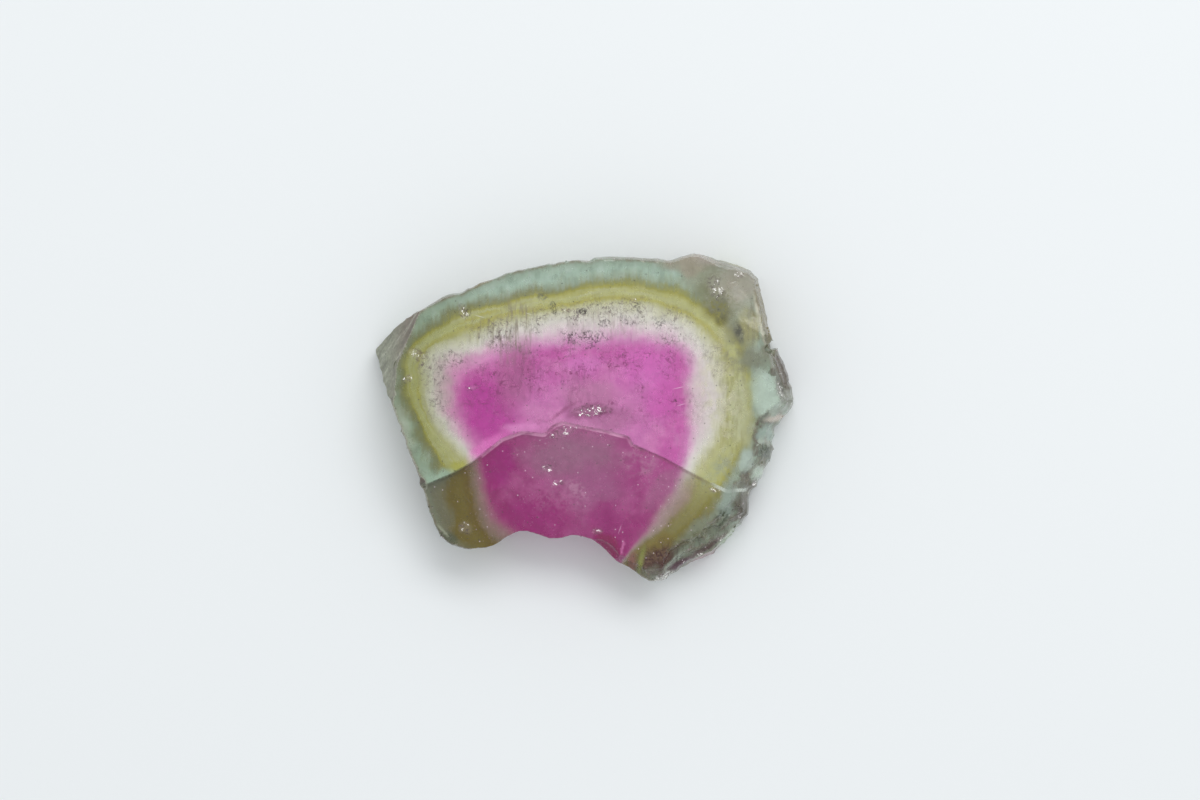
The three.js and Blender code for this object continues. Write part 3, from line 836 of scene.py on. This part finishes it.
# Scratches on the face: middle, half length and half width, turn, colour
SCRATCHES = [
    ((-8.55, 3.4), (0.55, 0.03), 57, (214, 216, 206)),
    ((-8.25, 3.5), (0.4, 0.022), 54, (196, 198, 186)),
    ((-4.6, 4.5), (0.34, 0.02), -14, (232, 234, 214)),
    ((-2.4, 4.6), (0.25, 0.018), -20, (226, 226, 204)),
    ((4.2, 1.35), (0.34, 0.02), 12, (238, 206, 228)),
    ((4.3, 0.6), (0.26, 0.018), 16, (236, 204, 226)),
    ((7.0, 6.35), (0.28, 0.02), -35, (226, 224, 216)),
    ((6.6, 6.0), (0.2, 0.02), 20, (226, 224, 216)),
    ((8.85, 2.0), (0.3, 0.025), 10, (226, 224, 212)),
    ((1.6, -4.9), (0.3, 0.02), 70, (220, 170, 204)),
]
for place, radii, turn, tint in SCRATCHES:
    amount = product(within(place, radii, turn), step(height, 1.8, 2.3), 0.85)
    colour = mix(amount, colour, linear(*tint))

# White flecks and dark gaps in the crushed spots
crushed = attribute("crushed")
fleck_distance, fleck_kind = cells(wavy, 10.0)
inside = step(fleck_distance, 0.5, 0.3)
white = product(step(math_of("ADD", fleck_kind, product(crushed, 0.36)), 1.06, 1.16), inside, 0.9)
white = product(white, step(crushed, 0.02, 0.2))
gaps = product(step(fleck_kind, 0.5, 0.3), step(crushed, 0.05, 0.5), inside)
colour = mix(gaps, colour, (0.42, 0.34, 0.37, 1), "MULTIPLY")
colour = mix(product(crushed, 0.1), colour, linear(226, 214, 220))
colour = mix(white, colour, linear(255, 253, 250))

# The lip of the fracture gets a painted highlight along most of the core and at its right end, and painted
# shade between them and at its left end
lip = product(step(apart(below, 0.05), 0.10, 0.05), step(height, 1.6, 2.2))
lip = product(lip, step(noise(position, 1.5, 3.0), 0.35, 0.6, 0.25, 1.0))
colour = mix(product(lip, step(across, 2.6, 1.6), core, 0.8), colour, linear(240, 178, 216))
colour = mix(product(lip, step(across, -5.4, -5.8), 0.5), colour, linear(84, 88, 72))
colour = mix(product(lip, step(across, 1.6, 2.6), step(across, 5.8, 5.2), 0.3), colour, linear(112, 76, 78))
colour = mix(product(lip, step(across, 5.4, 5.8), 0.6), colour, linear(226, 236, 228))

# The surface is vitreous where it is clean, duller on the tip and in the flecks, with fine scratches
rubbed = noise(position, 1.3, 5.0, 0.65)
roughness = step(rubbed, 0.35, 0.7, 0.16, 0.36)
roughness = math_of("MAXIMUM", roughness, product(tip, 0.5))
roughness = math_of("MAXIMUM", roughness, product(white, 0.6))
cuts = noise(stretched(position, (0.9, 26, 1), 28), 1.0, 3.0, 0.7)
crosscuts = noise(stretched(position, (0.9, 30, 1), -47), 1.0, 3.0, 0.7)
relief = math_of("ADD", step(cuts, 0.62, 0.7), step(crosscuts, 0.64, 0.72))
relief = math_of("ADD", relief, noise(position, 5.0, 5.0, 0.7))
relief = math_of("ADD", relief, product(white, fleck_kind, 2.0))
bump = add_node("Bump", {"Strength": 0.35, "Distance": 0.02 * MM, "Height": relief})

# The colours above are what shows on pale paper. The clear part of the stone returns less of it than a
# solid surface would, and gloss adds a little haze, so the base colour makes up for both.
RETURNED = 0.72
HAZE = 0.028
ABSORBED = (0.86, 0.84, 0.82, 1)
DENSITY = 60.0                  # per metre: a slice this thin takes only a little
TOURMALINE_IOR = 1.62
CLEAR = 0.38                    # how much of the light the stone lets in
without_haze = add_node("VectorMath", {0: colour, 1: (HAZE, HAZE, HAZE)}, operation="SUBTRACT")
shader = add_node("BsdfPrincipled", {
    "Base Color": times(without_haze.outputs[0], 1 / RETURNED),
    "Roughness": roughness,
    "IOR": TOURMALINE_IOR,
    "Transmission Weight": math_of("SUBTRACT", CLEAR, product(white, 0.3)),
    "Normal": bump.outputs[0],
})
absorption = add_node("VolumeAbsorption", {"Color": ABSORBED, "Density": DENSITY})
add_node("OutputMaterial", {"Surface": shader.outputs[0], "Volume": absorption.outputs[0]})

stone.data.materials.clear()
stone.data.materials.append(material)

# Back to metres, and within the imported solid's box
SMOOTH_ANGLE = math.radians(50)
stone.data.transform(Matrix.Scale(MM, 4))
low, high = (np.array(corner) for corner in cad_box)
stone.data.vertices.foreach_set("co", np.clip(positions(stone.data), low, high).astype(np.float32).ravel())
activate(stone)
bpy.ops.object.shade_smooth_by_angle(angle=SMOOTH_ANGLE)
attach(stone, "root")
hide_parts("tourmaline_slice")

# Paper, light and camera
# A pale sheet of paper under the slice, a large soft light above the top of the picture and a little to
# its right, and a camera that looks straight down.

PAPER_COLOUR = linear(234, 238, 240)
PAPER_SIZE = 0.8
PAPER_GAP = 0.03 * MM           # keeps it clear of the sawn back
DAYLIGHT = (0.965, 0.975, 0.98, 1)
DAYLIGHT_STRENGTH = 0.77
SOFTBOX_SIZE = (0.25, 0.12)
SOFTBOX_PLACE = (0.06, 0.16, 0.22)
SOFTBOX_WATTS = 0.32
CAMERA_PLACE = (0.665 * MM, 0.777 * MM, 0.15)
LENS = 100                      # mm, on a film 36 mm wide

bpy.ops.object.select_all(action="DESELECT")
bpy.ops.mesh.primitive_plane_add(size=PAPER_SIZE, location=(0, 0, -PAPER_GAP))
paper = bpy.context.active_object
paper.name = "paper"
paper_material = bpy.data.materials.new("paper")
paper_material.use_nodes = True
paper_shader = paper_material.node_tree.nodes["Principled BSDF"]
paper_shader.inputs["Base Color"].default_value = PAPER_COLOUR
paper_shader.inputs["Roughness"].default_value = 0.7
paper.data.materials.append(paper_material)

world = bpy.data.worlds.new("studio")
bpy.context.scene.world = world
world.use_nodes = True
world.node_tree.nodes["Background"].inputs["Color"].default_value = DAYLIGHT
world.node_tree.nodes["Background"].inputs["Strength"].default_value = DAYLIGHT_STRENGTH

softbox = bpy.data.lights.new("softbox", "AREA")
softbox.shape = "RECTANGLE"
softbox.size, softbox.size_y = SOFTBOX_SIZE
softbox.energy = SOFTBOX_WATTS
softbox_object = bpy.data.objects.new("softbox", softbox)
bpy.context.scene.collection.objects.link(softbox_object)
softbox_object.location = SOFTBOX_PLACE
softbox_object.rotation_euler = softbox_object.location.to_track_quat("Z", "Y").to_euler()

camera = bpy.data.cameras.new("camera")
camera.lens = LENS
camera.sensor_width = 36
camera.clip_start = 0.005
camera.clip_end = 5
camera_object = bpy.data.objects.new("camera", camera)
bpy.context.scene.collection.objects.link(camera_object)
camera_object.location = CAMERA_PLACE
bpy.context.scene.camera = camera_object
bpy.context.scene.view_settings.view_transform = "Standard"
